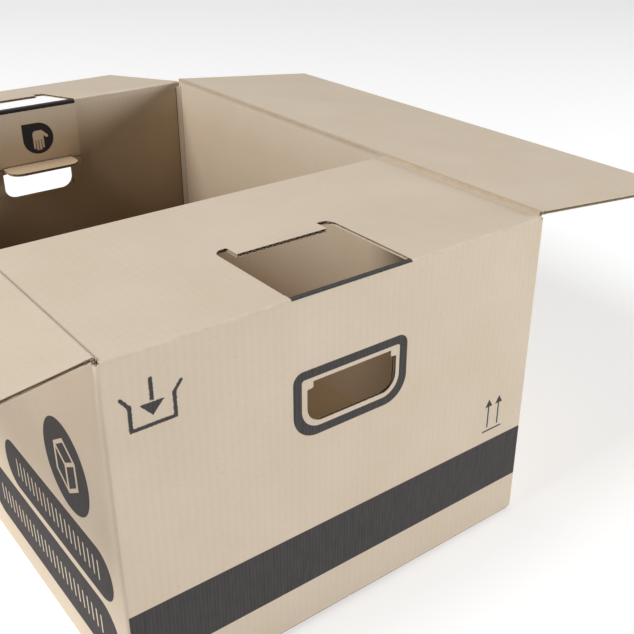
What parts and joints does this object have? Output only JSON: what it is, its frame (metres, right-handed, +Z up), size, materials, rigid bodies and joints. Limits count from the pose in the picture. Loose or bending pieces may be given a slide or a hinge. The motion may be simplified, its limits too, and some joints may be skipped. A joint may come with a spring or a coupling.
{
  "type": "moving box",
  "caption": "Corrugated moving box with hinged top flaps, hand holes in both ends and folded-in handle tongues.",
  "frame": {"origin": "middle of the box's footprint, on the floor it stands on", "axes": "+Z up; -Y towards the near end panel whose flap is folded in; X across the end panels"},
  "size_m": [0.7904, 0.798, 0.3043],
  "materials": {
    "kraft_board": "matt kraft corrugated board with dark grey print",
    "kraft_board_inside": "matt unprinted kraft corrugated board"
  },
  "bodies": {
    "carton": {"carton_body": "kraft_board"},
    "near_flap": {"near_end_flap": "kraft_board"},
    "far_flap": {"far_end_flap": "kraft_board"},
    "left_flap": {"left_long_flap": "kraft_board_inside"},
    "right_flap": {"right_long_flap": "kraft_board_inside"}
  },
  "joints": [
    {"name": "near_flap_hinge", "type": "hinge", "parent": "carton", "child": "near_flap", "pos_m": [0, -0.2985, 0.3], "axis": [1, 0, 0], "range_deg": [0, 220]},
    {"name": "far_flap_hinge", "type": "hinge", "parent": "carton", "child": "far_flap", "pos_m": [0, 0.2985, 0.3], "axis": [-1, 0, 0], "range_deg": [-188, 32]},
    {"name": "left_flap_hinge", "type": "hinge", "parent": "carton", "child": "left_flap", "pos_m": [-0.1985, 0, 0.3033], "axis": [0, -1, 0], "range_deg": [-188, 32]},
    {"name": "right_flap_hinge", "type": "hinge", "parent": "carton", "child": "right_flap", "pos_m": [0.1985, 0, 0.3033], "axis": [0, 1, 0], "range_deg": [-185.8, 34.2]}
  ]
}
